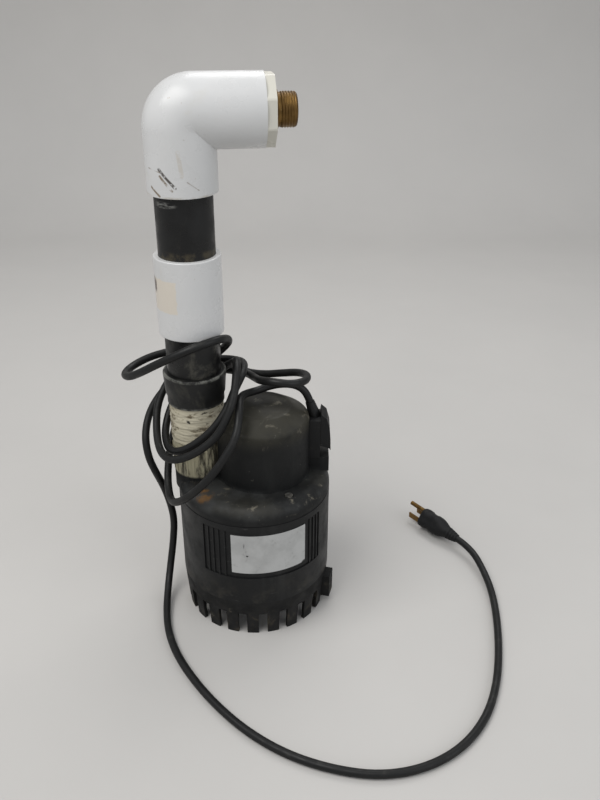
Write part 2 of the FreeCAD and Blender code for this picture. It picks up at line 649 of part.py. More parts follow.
# ---------------------------------------------------------------- discharge column
def make_column():
    x0 = size.pipe_x
    bore = size.pipe_r + size.socket_gap
    node("thread_tape", tube("thread_tape", size.stub_r + size.tape_thick, size.stub_r,
                             size.collar_low - size.tape_low - 0.5, (x0, 0, size.tape_low + 0.5)))
    stop_low = size.stub_top
    collar = turned("collar", [
        (size.stub_r + size.socket_gap, size.collar_low), (size.collar_low_r, size.collar_low),
        (size.collar_low_r, size.collar_band_low), (size.collar_band_r, size.collar_band_low),
        (size.collar_rim_r, size.collar_top - 3.0), (size.collar_rim_r, size.collar_top),
        (bore, size.collar_top), (bore, stop_low + size.collar_stop),
        (size.stub_bore_r + 0.5, stop_low + size.collar_stop), (size.stub_bore_r + 0.5, stop_low),
        (size.stub_r + size.socket_gap, stop_low)], (x0, 0, 0),
        [(size.collar_rim_r, size.collar_top, 1.4)])
    node("adapter_collar", collar)
    middle = (size.coupling_low + size.coupling_top) * 0.5
    half_stop = size.coupling_stop * 0.5
    pipe_low = stop_low + size.collar_stop
    node("lower_pipe", tube("lower_pipe", size.pipe_r, size.pipe_bore_r,
                            middle - half_stop - pipe_low, (x0, 0, pipe_low)))
    coupling = turned("coupling", [
        (bore, size.coupling_low), (size.coupling_r, size.coupling_low),
        (size.coupling_r, size.coupling_top), (bore, size.coupling_top),
        (bore, middle + half_stop), (size.pipe_bore_r + 0.6, middle + half_stop),
        (size.pipe_bore_r + 0.6, middle - half_stop), (bore, middle - half_stop)],
        (x0, 0, 0), [(size.coupling_r, size.coupling_top, 1.0), (size.coupling_r, size.coupling_low, 1.0)])
    node("pipe_coupling", coupling)
    pipe2_low = middle + half_stop
    node("upper_pipe", tube("upper_pipe", size.pipe_r, size.pipe_bore_r,
                            size.elbow_low + size.socket_depth - pipe2_low, (x0, 0, pipe2_low)))


def arm_point(along, across=0.0, up=0.0):
    """A point in the elbow's own frame: along the arm, across it, and up from its axis."""
    yaw = math.radians(size.arm_yaw.value)
    along, across = Term.of(along), Term.of(across)
    return (size.pipe_x + along * math.cos(yaw) - across * math.sin(yaw),
            along * math.sin(yaw) + across * math.cos(yaw), size.arm_z + up)


ARM_TURN = about_z(size.arm_yaw.value).multiply(FreeCAD.Rotation(Vector(0, 1, 0), 90))


def along_arm(stem, radius, start, length):
    return cylinder(stem, radius, length, arm_point(start), ARM_TURN)


def quarter_bend(stem, radius):
    """The rounded corner of the elbow: a circle cut off at the turning axis, swept a quarter turn."""
    body = new("PartDesign::Body", stem)
    sketch = body.newObject("Sketcher::SketchObject", f"{body.Name}_sketch")
    sketch.AttachmentSupport = [(plane_of(body, "XY_Plane"), "")]
    sketch.MapMode = "FlatFace"
    turn_r, tube_r = size.bend_r.value, Term.of(radius).value
    lean = math.acos(turn_r / tube_r)
    circle = Part.Circle(Vector(-turn_r, 0, 0), Vector(0, 0, 1), tube_r)
    sketch.addGeometry(Part.ArcOfCircle(circle, lean, 2 * math.pi - lean), False)
    rise = tube_r * math.sin(lean)
    sketch.addGeometry(Part.LineSegment(Vector(0, -rise, 0), Vector(0, rise, 0)), False)
    sketch.addConstraint(Sketcher.Constraint("Coincident", 0, 2, 1, 1))
    sketch.addConstraint(Sketcher.Constraint("Coincident", 0, 1, 1, 2))
    sketch.addConstraint(Sketcher.Constraint("PointOnObject", 0, 3, -1))
    sketch.addConstraint(Sketcher.Constraint("PointOnObject", 0, 1, -2))
    sketch.addConstraint(Sketcher.Constraint("PointOnObject", 0, 2, -2))
    index = sketch.addConstraint(Sketcher.Constraint("DistanceX", 0, 3, -1, 1, turn_r))
    sketch.setExpression(f"Constraints[{index}]", size.bend_r.text)
    index = sketch.addConstraint(Sketcher.Constraint("Radius", 0, tube_r))
    sketch.setExpression(f"Constraints[{index}]", Term.of(radius).text)
    spin = body.newObject("PartDesign::Revolution", f"{body.Name}_spin")
    spin.Profile = sketch
    spin.ReferenceAxis = (sketch, ["V_Axis"])
    spin.Angle = 90.0
    return place(body, arm_point(size.bend_r, 0.0, -size.bend_r), about_z(size.arm_yaw.value))


def make_elbow():
    corner_z = size.arm_z - size.bend_r
    outside = fuse("elbow_outside",
                   cylinder("elbow_hub", size.fitting_r, corner_z - size.elbow_low,
                            (size.pipe_x, 0, size.elbow_low)),
                   along_arm("elbow_arm", size.fitting_r, size.bend_r, size.arm_reach - size.bend_r),
                   quarter_bend("elbow_bend", size.fitting_r))
    socket = size.pipe_r + size.socket_gap
    inside = fuse("elbow_inside",
                  cylinder("elbow_bore", size.pipe_bore_r, corner_z - size.elbow_low + HIDDEN,
                           (size.pipe_x, 0, size.elbow_low - HIDDEN)),
                  cylinder("elbow_socket", socket, size.socket_depth + HIDDEN,
                           (size.pipe_x, 0, size.elbow_low - HIDDEN)),
                  along_arm("arm_bore", size.pipe_bore_r, size.bend_r,
                            size.arm_reach - size.bend_r + HIDDEN),
                  along_arm("arm_socket", socket, size.arm_reach - size.socket_depth,
                            size.socket_depth + HIDDEN),
                  quarter_bend("bend_bore", size.pipe_bore_r))
    node("elbow", cut("elbow", outside, inside))
    flange_turn = ARM_TURN.multiply(FreeCAD.Rotation(Vector(0, 0, 1), 22.5))
    octagon = prism("bush_octagon", 8, size.bush_flat / math.cos(math.radians(22.5)), size.bush_flange,
                    arm_point(size.arm_reach), flange_turn)
    flange = common("bush_flange", octagon,
                    along_arm("bush_round", size.bush_corner_r, size.arm_reach, size.bush_flange))
    spigot = along_arm("bush_spigot", size.pipe_r, size.arm_reach - size.bush_spigot,
                       size.bush_spigot + 0.5)
    bush_bore = along_arm("bush_bore", size.hose_root_r + 0.05, size.arm_reach - size.bush_spigot - 1.0,
                          size.bush_spigot + size.bush_flange + 2.0)
    node("reducing_bushing", cut("reducing_bushing", fuse("bushing", flange, spigot), bush_bore))
    face = size.arm_reach + size.bush_flange
    lip_end = face + size.hose_lip
    neck_end = lip_end + size.hose_neck
    adapter = fuse("adapter",
                   along_arm("hose_spigot", size.hose_root_r, face - 22.0, 22.5),
                   along_arm("hose_lip", size.hose_lip_r, face, size.hose_lip),
                   along_arm("hose_neck", size.hose_root_r, lip_end - 0.5, size.hose_neck + 1.0),
                   along_arm("hose_thread", size.hose_r, neck_end, size.hose_thread - size.hose_round),
                   along_arm("hose_nose", size.hose_root_r - 0.7, neck_end,
                             size.hose_thread))
    hose_bore = along_arm("hose_bore", size.hose_bore_r, face - 23.0,
                          size.hose_thread + size.hose_lip + size.hose_neck + 25.0)
    node("hose_adapter", cut("hose_adapter", adapter, hose_bore))


# ---------------------------------------------------------------- cord gland
def make_gland():
    near = size.shaft_x + size.dome_r - 6.0
    low_y = size.gland_y - size.gland_width * 0.5
    block = box("gland_block", size.gland_out - near, size.gland_width,
                size.gland_high - size.gland_low, (near, low_y, size.gland_low))
    dome = cylinder("gland_dome", size.dome_r + 0.1, 60.0, (size.shaft_x, 0, size.gland_low - 10.0))
    lead = cylinder("gland_lead", 4.0, 30.0,
                    (near - 5.0, size.gland_y, size.gland_low + 17.0),
                    FreeCAD.Rotation(Vector(0, 1, 0), 90))
    lead_stop = box("gland_core", 3.0, size.gland_width, size.gland_high - size.gland_low,
                    (size.gland_out - 3.0, low_y, size.gland_low))
    boot = nodes["strain_relief"]
    node("cord_gland", cut("cord_gland", fuse("gland_whole", block, lead_stop), dome, boot,
                           cut("gland_lead_room", lead, lead_stop_copy(low_y))))
    outer = size.gland_out + size.clamp_thick
    clamp = padded("cord_clamp", [
        (size.gland_out + 0.1, size.gland_low + 13.0), (size.gland_out + 0.1, size.gland_high + 2.0),
        (size.gland_out + 0.9, size.gland_high + 6.0), (outer + 1.5, size.gland_high + 1.5),
        (outer + 4.4, size.gland_high - 9.0), (outer + 5.2, size.gland_high - 20.0),
        (outer + 5.5, size.gland_low + 8.0), (outer + 4.1, size.gland_low + 10.0)],
        size.gland_width - 2.0, (0, size.gland_y, 0), None, "XZ_Plane")
    node("cord_clamp", cut("cord_clamp", clamp, boot))


def lead_stop_copy(low_y):
    return box("gland_stop", 3.0, size.gland_width, size.gland_high - size.gland_low,
               (size.gland_out - 3.0, low_y, size.gland_low))


# ---------------------------------------------------------------- power cord
LEAD = [(53, 9, 214), (50, 9.3, 223), (42, 10, 230), (30, 12, 231), (17, 14, 228), (4, 8, 225.5)]
LOW_TURN = [(-8, -6, 229), (-10, -23, 232), (-9, -41, 227), (-11, -56, 213), (-22, -64, 195),
            (-35, -66, 177), (-49, -62, 160), (-62, -54, 145), (-73, -42, 134), (-79, -26, 131),
            (-83, -7, 139), (-83, 13, 156), (-78, 29, 176), (-71, 39, 195), (-56, 42, 212),
            (-41, 36.5, 227), (-26, 28, 241), (-15, 15, 253)]
MIDDLE_TURN = [(-13, -2, 262), (-12, -19, 258), (-13, -32, 244), (-18, -42, 228), (-27, -48, 211),
               (-41, -50, 198), (-55, -48, 188), (-69, -43, 181), (-79, -33, 178), (-87, -17, 180),
               (-91, 1, 189), (-92, 18, 203), (-86, 32, 217), (-75, 42, 229), (-58, 45, 237),
               (-41, 43.5, 241), (-24, 38, 244), (-11, 27, 247)]
INNER_TURN = [(-7, 12, 250), (-8, -6, 249), (-14, -19, 241), (-20, -29, 227), (-31, -37, 212),
              (-46, -38.5, 198), (-60, -36, 187.5), (-71.5, -28.5, 181), (-79.5, -14.5, 179), (-83.5, 2, 185),
              (-81, 18.5, 198), (-72, 30, 213), (-57.5, 35.5, 229), (-41, 35, 245), (-27, 25, 261)]
UPPER_TURN = [(-20, 10, 274.5), (-20, -8, 285.5), (-27, -27, 292), (-43, -37, 290), (-61, -38, 282),
              (-79, -32, 271), (-96, -22, 258), (-110, -10, 247.5), (-117, 6, 243), (-113, 22, 243),
              (-100, 35, 246), (-83, 44, 248), (-65, 51, 248), (-47, 55, 243), (-29, 55, 234),
              (-11, 47, 226)]
DOME_LOOP = [(8, 39, 227), (26, 34, 231), (42, 26, 236), (51, 10, 241), (49, -9, 244),
             (36, -21, 247), (19, -20, 249), (8, -8, 244), (2, 8, 239)]
TAIL = [(-5, 23, 236), (-17, 36, 232), (-32, 44, 230), (-47, 48, 229), (-62, 51, 225),
        (-78, 48, 217), (-92, 38, 206), (-101, 22, 194), (-103, 3, 180), (-100, -5, 161),
        (-96, 1, 141), (-91, 9, 119), (-87, 14, 97), (-84, 15, 74), (-86, 11, 50), (-89, 0, 27),
        (-90, -20, 11), (-88, -46, 4.5), (-82, -74, 3.9), (-69, -104, 3.9), (-50, -133, 3.9),
        (-28, -160, 3.9), (0, -187, 3.9), (33, -209, 3.9), (70, -223, 3.9), (109, -229, 3.9),
        (146, -222, 3.9), (179, -203, 3.9), (205, -173, 3.9), (222, -136, 3.9), (233, -94, 3.9),
        (240, -52, 3.9), (243, -16, 4.6), (240, 16, 7.4), (231.4, 46.7, 12.4)]
PLUG_TIP = (187.6, 103.0, 12.6)
PLUG_REAR = (219.2, 62.5, 12.6)
STRETCHES = [("cord_lead", LEAD), ("cord_low_turn", LOW_TURN), ("cord_middle_turn", MIDDLE_TURN),
             ("cord_inner_turn", INNER_TURN), ("cord_upper_turn", UPPER_TURN),
             ("cord_dome_loop", DOME_LOOP), ("cord_tail", TAIL)]


def rounded_path(points):
    """Straight runs joined by tangent arcs, and the arcs' radii."""
    pieces = []
    radii = []
    start = points[0]
    for index in range(1, len(points) - 1):
        before, here, after = points[index - 1], points[index], points[index + 1]
        back, ahead = before - here, after - here
        half_turn = (math.pi - back.getAngle(ahead)) / 2.0
        # a split point has half a run beside it, so its arc is sized by the whole run
        trim = 0.45 * min(back.Length, ahead.Length)
        radius = trim / math.tan(half_turn)
        radii.append(radius)
        back.normalize()
        ahead.normalize()
        first = here + back * trim
        last = here + ahead * trim
        inward = back + ahead
        inward.normalize()
        middle = here + inward * (radius / math.cos(half_turn) - radius)
        if (first - start).Length > 1e-6:
            pieces.append(Part.LineSegment(start, first).toShape())
        pieces.append(Part.Arc(first, middle, last).toShape())
        start = last
    pieces.append(Part.LineSegment(start, points[-1]).toShape())
    return Part.Wire(pieces), radii


def cord_stretch(name, points):
    path, radii = rounded_path(points)
    first = path.Edges[0]
    circle = Part.Circle(points[0], first.tangentAt(first.FirstParameter), size.cord_d.value / 2.0)
    solid = path.makePipeShell([Part.Wire([circle.toShape()])], True, False)
    section = math.pi * (size.cord_d.value / 2.0) ** 2
    print(f"{name}: length {path.Length:.1f}, radii", [round(radius) for radius in radii],
          f"volume ratio {solid.Volume / (section * path.Length):.4f}")
    feature = doc.addObject("Part::Feature", name)
    feature.Shape = solid
    node(name, feature)
    return path.Length


def make_cord():
    total = 0.0
    joint = None
    for index, (name, chosen) in enumerate(STRETCHES):
        points = [Vector(*point) for point in chosen]
        if joint is not None:
            points.insert(0, joint)
        if index + 1 < len(STRETCHES):
            joint = (points[-1] + Vector(*STRETCHES[index + 1][1][0])) * 0.5
            points.append(joint)
        else:
            points.append(Vector(*PLUG_REAR))
        total += cord_stretch(name, points)
    print(f"cord length {total:.1f}")


def pointing(start, end):
    """The rotation that carries +Z onto the way from start to end."""
    return FreeCAD.Rotation(Vector(0, 0, 1), Vector(*end) - Vector(*start))


def make_boot():
    tip, ahead = Vector(*LEAD[0]), Vector(*LEAD[1])
    way = ahead - tip
    way.normalize()
    foot = tip - way * size.boot_len.value
    turn = FreeCAD.Rotation(Vector(0, 0, 1), way)
    return node("strain_relief", cone("strain_relief", size.boot_r, size.cord_d * 0.5 + 0.7,
                                      size.boot_len, tuple(foot), turn))


def make_plug():
    way = Vector(*PLUG_TIP) - Vector(*PLUG_REAR)
    way.normalize()
    turn = pointing(PLUG_REAR, PLUG_TIP).multiply(about_z(35.0))
    rear = Vector(*PLUG_REAR)
    neck = rear + way * size.relief_len.value
    face = neck + way * size.plug_len.value
    relief = cone("plug_relief", size.cord_d * 0.5 + 1.0, size.relief_r, size.relief_len + 0.5,
                  tuple(rear), turn)
    waist = cone("plug_waist", size.relief_r, size.plug_r, 14.0, tuple(neck), turn)
    grip = cylinder("plug_grip", size.plug_r, size.plug_len - 14.0, tuple(neck + way * 14.0), turn)
    node("plug_body", fuse("plug_body", relief, waist, grip))
    blades = []
    for side in (-0.5, 0.5):
        corner = Vector(side * size.blade_pitch.value - size.blade_t.value / 2.0,
                        -size.blade_w.value / 2.0 + 3.0, 0.0)
        blades.append(box("blade", size.blade_t, size.blade_w, size.blade_len,
                          tuple(face + turn.multVec(corner)), turn))
    node("plug_blades", group("plug_blades", *blades))
    drop = Vector(0.0, 3.0 - size.pin_drop.value, 0.0)
    node("ground_pin", cylinder("ground_pin", size.pin_r, size.pin_len,
                                tuple(face + turn.multVec(drop)), turn))


# ---------------------------------------------------------------- build, check, write
make_boot()
make_base()
make_shell()
make_housing()
make_pump_end()
make_motor()
make_rotor()
make_column()
make_elbow()
make_gland()
make_cord()
make_plug()
doc.recompute()

faults = [item.Name for item in doc.Objects if "Invalid" in item.State or "Error" in item.State]
for name, thing in nodes.items():
    if thing.Shape.isNull() or not thing.Shape.isValid() or not thing.Shape.Solids:
        faults.append(name)
if faults:
    raise RuntimeError(f"objects that did not build: {faults}")

os.makedirs("parts", exist_ok=True)
for name, thing in nodes.items():
    thing.Shape.exportStep(os.path.join("parts", f"{name}.step"))
    bounds = thing.Shape.BoundBox
    print(f"{name}: solids {len(thing.Shape.Solids)} volume {thing.Shape.Volume:.0f} "
          f"z {bounds.ZMin:.1f}..{bounds.ZMax:.1f}")
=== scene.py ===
import math

import bmesh
import bpy
from mathutils import Matrix, Vector


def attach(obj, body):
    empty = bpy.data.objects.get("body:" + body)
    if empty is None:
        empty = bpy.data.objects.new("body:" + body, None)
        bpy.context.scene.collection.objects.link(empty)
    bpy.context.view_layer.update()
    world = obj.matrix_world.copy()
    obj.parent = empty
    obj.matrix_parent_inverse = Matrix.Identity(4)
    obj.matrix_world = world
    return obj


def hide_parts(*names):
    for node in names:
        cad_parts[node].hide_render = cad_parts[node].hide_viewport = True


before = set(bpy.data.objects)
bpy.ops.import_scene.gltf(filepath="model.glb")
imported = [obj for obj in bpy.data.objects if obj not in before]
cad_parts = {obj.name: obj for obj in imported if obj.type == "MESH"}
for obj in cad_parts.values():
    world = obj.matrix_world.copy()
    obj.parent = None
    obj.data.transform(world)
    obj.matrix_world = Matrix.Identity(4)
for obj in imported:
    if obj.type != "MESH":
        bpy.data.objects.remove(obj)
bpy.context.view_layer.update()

MM = 0.001
PIPE_X, ARM_Z = -51.5, 472.2
BLACK = (0.0, 0.0, 0.0)


# ---------------------------------------------------------------- material helpers
class Shade:
    """Small builder for a node material on object coordinates, which are metres here."""

    def __init__(self, name, base=(0.5, 0.5, 0.5), rough=0.5, metallic=0.0, specular=0.5):
        self.material = bpy.data.materials.new(name)
        self.material.use_nodes = True
        self.tree = self.material.node_tree
        self.tree.nodes.clear()
        self.out = self.add("ShaderNodeOutputMaterial")
        self.bsdf = self.add("ShaderNodeBsdfPrincipled")
        self.tree.links.new(self.bsdf.outputs["BSDF"], self.out.inputs["Surface"])
        self.bsdf.inputs["Base Color"].default_value = (*base, 1)
        self.bsdf.inputs["Roughness"].default_value = rough
        self.bsdf.inputs["Metallic"].default_value = metallic
        self.bsdf.inputs["Specular IOR Level"].default_value = specular
        self.coords = self.add("ShaderNodeTexCoord").outputs["Object"]
        self.normal = self.add("ShaderNodeNewGeometry").outputs["Normal"]

    def add(self, kind):
        return self.tree.nodes.new(kind)

    def link(self, source, target):
        self.tree.links.new(source, target)

    def mapped(self, scale=(1, 1, 1), move=(0, 0, 0)):
        node = self.add("ShaderNodeMapping")
        self.link(self.coords, node.inputs["Vector"])
        node.inputs["Scale"].default_value = scale
        node.inputs["Location"].default_value = move
        return node.outputs["Vector"]

    def noise(self, scale, detail=4.0, rough=0.55, stretch=(1, 1, 1), move=(0, 0, 0), warp=0.0):
        node = self.add("ShaderNodeTexNoise")
        self.link(self.mapped(stretch, move), node.inputs["Vector"])
        node.inputs["Scale"].default_value = scale
        node.inputs["Detail"].default_value = detail
        node.inputs["Roughness"].default_value = rough
        node.inputs["Distortion"].default_value = warp
        return node.outputs["Fac"]

    def range(self, value, low, high, to_low=0.0, to_high=1.0):
        """A smooth step from one number to another."""
        node = self.add("ShaderNodeMapRange")
        node.interpolation_type = "SMOOTHSTEP"
        self.link(value, node.inputs["Value"])
        for key, number in (("From Min", low), ("From Max", high), ("To Min", to_low),
                            ("To Max", to_high)):
            node.inputs[key].default_value = number
        return node.outputs["Result"]

    def math(self, operation, a, b=0.0, c=None):
        node = self.add("ShaderNodeMath")
        node.operation = operation
        for index, item in enumerate((a, b) if c is None else (a, b, c)):
            if isinstance(item, (int, float)):
                node.inputs[index].default_value = item
            else:
                self.link(item, node.inputs[index])
        return node.outputs["Value"]

    def axis(self, letter, vector=None):
        node = self.add("ShaderNodeSeparateXYZ")
        self.link(vector or self.coords, node.inputs["Vector"])
        return node.outputs[letter]

    def mix(self, under, over, fac):
        node = self.add("ShaderNodeMix")
        node.data_type = "RGBA"
        if isinstance(fac, (int, float)):
            node.inputs["Factor"].default_value = fac
        else:
            self.link(fac, node.inputs["Factor"])
        for key, item in (("A", under), ("B", over)):
            socket = next(s for s in node.inputs if s.name == key and s.type == "RGBA")
            if isinstance(item, tuple):
                socket.default_value = (*item, 1)
            else:
                self.link(item, socket)
        return next(s for s in node.outputs if s.type == "RGBA")

    def colour(self, value):
        self.link(value, self.bsdf.inputs["Base Color"])

    def rough(self, value):
        self.link(value, self.bsdf.inputs["Roughness"])

    def bump(self, height, strength, distance):
        node = self.add("ShaderNodeBump")
        node.inputs["Strength"].default_value = strength
        node.inputs["Distance"].default_value = distance
        self.link(height, node.inputs["Height"])
        previous = self.bsdf.inputs["Normal"]
        if previous.is_linked:
            self.link(previous.links[0].from_socket, node.inputs["Normal"])
        self.link(node.outputs["Normal"], previous)

    def near(self, point, size):
        """1 inside a soft ellipsoid round a point, in millimetres, falling to 0 outside it."""
        offset = self.vector("SUBTRACT", self.coords, Vector(point) * MM)
        scaled = self.vector("DIVIDE", offset, Vector(size) * MM)
        length = self.vector("LENGTH", scaled, None, "Value")
        return self.range(length, 1.0, 0.55)

    def stroke(self, start, end, width, soft=0.35):
        """1 on a straight scrape between two points, in millimetres."""
        start, end = Vector(start) * MM, Vector(end) * MM
        way = end - start
        offset = self.vector("SUBTRACT", self.coords, start)
        along = self.vector("DOT_PRODUCT", offset, way / way.length_squared, "Value")
        along = self.math("MINIMUM", self.math("MAXIMUM", along, 0.0), 1.0)
        foot = self.vector("SCALE", way, None)
        self.link(along, foot.node.inputs["Scale"])
        gap = self.vector("LENGTH", self.vector("SUBTRACT", offset, foot), None, "Value")
        return self.range(gap, (width + soft) * MM, max(width - soft, 0.0) * MM)

    def vector(self, operation, a, b, output="Vector"):
        """A vector operation on sockets and constant vectors."""
        node = self.add("ShaderNodeVectorMath")
        node.operation = operation
        for index, item in enumerate((a, b)):
            if item is None:
                continue
            if isinstance(item, Vector):
                node.inputs[index].default_value = item
            else:
                self.link(item, node.inputs[index])
        return node.outputs[output]

    def from_column(self):
        """Distance from the riser's axis, in metres."""
        across = self.math("ADD", self.axis("X"), -PIPE_X * MM)
        return self.math("SQRT", self.math("MULTIPLY_ADD", across, across,
                                           self.math("MULTIPLY", self.axis("Y"), self.axis("Y"))))

    def band(self, value, low, high, soft):
        """1 where the value is between two limits."""
        up = self.range(value, low - soft, low + soft)
        down = self.range(value, high - soft, high + soft, 1.0, 0.0)
        return self.math("MULTIPLY", up, down)


def times(shade, *factors):
    """The product of several sockets and numbers."""
    result = factors[0]
    for item in factors[1:]:
        result = shade.math("MULTIPLY", result, item)
    return result


def housing_material():
    s = Shade("housing_black", rough=0.5, specular=0.2)
    up = s.range(s.axis("Z", s.normal), 0.15, 0.9)
    height = s.axis("Z")
    tone = s.mix((0.0125, 0.0132, 0.0135), (0.026, 0.027, 0.027), s.noise(28, 5, 0.6))
    streak = s.range(s.noise(45, 5, 0.6, (1, 1, 0.12)), 0.5, 0.72)
    tone = s.mix(tone, (0.045, 0.046, 0.044), s.math("MULTIPLY", streak, 0.45))
    film = s.range(s.noise(16, 6, 0.62, move=(0.3, 0.1, 0)), 0.36, 0.72)
    tone = s.mix(tone, (0.082, 0.078, 0.064), times(s, up, film, 0.85))
    top = s.range(height, 0.186, 0.206)
    wash = s.range(s.noise(22, 6, 0.65, move=(1.7, 0.4, 0.2)), 0.3, 0.6)
    tone = s.mix(tone, (0.075, 0.07, 0.052), times(s, top, wash, 0.9))
    shelf = s.band(height, 0.137, 0.1475, 0.004)
    grey = s.range(s.noise(30, 6, 0.6, move=(0.2, 2.1, 0)), 0.4, 0.66)
    tone = s.mix(tone, (0.105, 0.108, 0.106), times(s, shelf, grey, 0.9))
    pale = s.range(s.noise(62, 7, 0.7, move=(3.1, 0.9, 0.5), warp=0.6), 0.575, 0.69)
    splash = s.math("MAXIMUM", times(s, top, 0.8), times(s, shelf, 0.9))
    tone = s.mix(tone, (0.33, 0.3, 0.235), times(s, pale, splash))
    rust = s.math("MULTIPLY", s.near((-44, -46, 146), (12, 12, 9)),
                  s.range(s.noise(95, 5, 0.6), 0.42, 0.62))
    tone = s.mix(tone, (0.3, 0.16, 0.06), rust)
    specks = s.range(s.noise(260, 3, 0.6, move=(4, 1, 0)), 0.69, 0.75)
    tone = s.mix(tone, (0.2, 0.19, 0.16), s.math("MULTIPLY", specks, 0.5))
    tone = s.mix(tone, BLACK, 0.58)
    # the discharge neck keeps a stained cream coat with dark runs
    neck = times(s, s.range(s.from_column(), 0.0263, 0.0257), s.range(height, 0.1485, 0.1515))
    cream = s.mix((0.3, 0.27, 0.17), (0.46, 0.43, 0.32), s.noise(50, 5, 0.6, (1, 1, 0.4)))
    runs = s.range(s.noise(75, 6, 0.68, (1, 1, 0.22), (0.1, 0.7, 0.1), 0.4), 0.44, 0.58)
    cream = s.mix(cream, (0.03, 0.027, 0.02), s.math("MULTIPLY", runs, 0.95))
    tone = s.mix(tone, cream, neck)
    s.colour(tone)
    s.rough(s.range(s.noise(34, 5, 0.6), 0.3, 0.75, 0.42, 0.72))
    s.bump(s.noise(850, 2, 0.5), 0.12, 0.0003)
    s.bump(s.noise(60, 5, 0.6), 0.1, 0.0008)
    return s.material


def shell_material():
    s = Shade("shell_black", rough=0.5, specular=0.24)
    height = s.axis("Z")
    tone = s.mix((0.012, 0.0126, 0.013), (0.022, 0.023, 0.024), s.noise(24, 5, 0.6))
    streak = s.range(s.noise(80, 5, 0.6, (1, 1, 0.08)), 0.52, 0.75)
    tone = s.mix(tone, (0.05, 0.051, 0.05), s.math("MULTIPLY", streak, 0.5))
    low = s.range(height, 0.075, 0.03)
    mud = s.range(s.noise(48, 6, 0.65, move=(0.7, 0.2, 0.9)), 0.47, 0.66)
    tone = s.mix(tone, (0.09, 0.082, 0.066), times(s, low, mud, 0.7))
    scuff = s.range(s.noise(120, 4, 0.6, (1, 1, 4), (0.1, 0.6, 0.2)), 0.63, 0.7)
    tone = s.mix(tone, (0.12, 0.12, 0.115), s.math("MULTIPLY", scuff, 0.4))
    s.colour(s.mix(tone, BLACK, 0.58))
    s.rough(s.range(s.noise(40, 5, 0.6), 0.3, 0.75, 0.38, 0.66))
    s.bump(s.noise(900, 2, 0.5), 0.12, 0.0003)
    return s.material


def base_material():
    s = Shade("base_black", rough=0.62, specular=0.22)
    height = s.axis("Z")
    tone = s.mix((0.011, 0.011, 0.0115), (0.024, 0.024, 0.023), s.noise(40, 5, 0.6))
    crust = s.range(s.noise(75, 7, 0.7, move=(0.2, 0.5, 0.3), warp=0.5), 0.52, 0.66)
    low = s.range(height, 0.036, 0.012)
    tone = s.mix(tone, (0.12, 0.1, 0.07), times(s, crust, low, 0.75))
    pale = s.range(s.noise(120, 6, 0.7, move=(1.2, 0.1, 0.3)), 0.62, 0.7)
    left = s.range(s.axis("X"), 0.01, -0.04)
    tone = s.mix(tone, (0.33, 0.3, 0.24), times(s, pale, left, 0.6))
    s.colour(s.mix(tone, BLACK, 0.55))
    s.rough(s.range(s.noise(60, 5, 0.6), 0.3, 0.7, 0.5, 0.85))
    s.bump(s.noise(240, 5, 0.6), 0.35, 0.0006)
    return s.material


def pipe_material():
    s = Shade("pipe_black", rough=0.3, specular=0.32)
    height = s.axis("Z")
    tone = s.mix((0.0075, 0.0078, 0.0085), (0.019, 0.019, 0.018), s.noise(30, 5, 0.6, (1, 1, 0.4)))
    blotch = s.range(s.noise(58, 7, 0.66, (1, 1, 0.7), (0.4, 0.2, 0.1), 0.4), 0.54, 0.7)
    low = s.range(height, 0.34, 0.26)
    share = s.math("MULTIPLY_ADD", low, 0.75, 0.12)
    tone = s.mix(tone, (0.11, 0.105, 0.085), times(s, blotch, share))
    mark = times(s, s.near((-65, -20, 404.5), (14, 12, 3.2)),
                 s.range(s.noise(190, 6, 0.7, (0.4, 0.4, 1.7)), 0.44, 0.58))
    tone = s.mix(tone, (0.3, 0.3, 0.28), mark)
    ring = times(s, s.band(height, 0.359, 0.3655, 0.0022),
                 s.range(s.noise(110, 5, 0.65), 0.42, 0.6))
    tone = s.mix(tone, (0.16, 0.13, 0.075), s.math("MULTIPLY", ring, 0.5))
    s.colour(s.mix(tone, BLACK, 0.5))
    s.rough(s.range(s.noise(50, 5, 0.6), 0.35, 0.7, 0.24, 0.52))
    s.bump(s.noise(500, 2, 0.5), 0.05, 0.0002)
    return s.material


def collar_material():
    s = Shade("collar_black", rough=0.42, specular=0.28)
    tone = s.mix((0.011, 0.011, 0.0115), (0.024, 0.024, 0.023), s.noise(36, 5, 0.6))
    film = s.range(s.noise(66, 6, 0.65, (1, 1, 0.5), warp=0.5), 0.5, 0.7)
    tone = s.mix(tone, (0.085, 0.082, 0.066), s.math("MULTIPLY", film, 0.6))
    # painted highlight with some wear: a pale band on the top of the collar's outer rim stands in
    # for light catching the edge, broken up by noise
    rim_highlight = s.band(s.axis("Z"), 0.2497, 0.2535, 0.0006)
    wear_and_sheen = s.range(s.noise(130, 5, 0.6), 0.35, 0.6)
    tone = s.mix(tone, (0.36, 0.36, 0.32),
                 times(s, rim_highlight, s.range(s.from_column(), 0.0262, 0.0272), wear_and_sheen, 0.8))
    # painted highlight with some wear: a pale band along the collar's step stands in for light
    # catching that edge, broken up by the same noise
    step = s.band(s.axis("Z"), 0.2212, 0.2236, 0.0006)
    tone = s.mix(tone, (0.28, 0.28, 0.25), times(s, step, wear_and_sheen, 0.75))
    s.colour(s.mix(tone, BLACK, 0.5))
    s.rough(s.range(s.noise(50, 5, 0.6), 0.35, 0.7, 0.34, 0.6))
    s.bump(s.noise(400, 3, 0.5), 0.1, 0.0003)
    return s.material


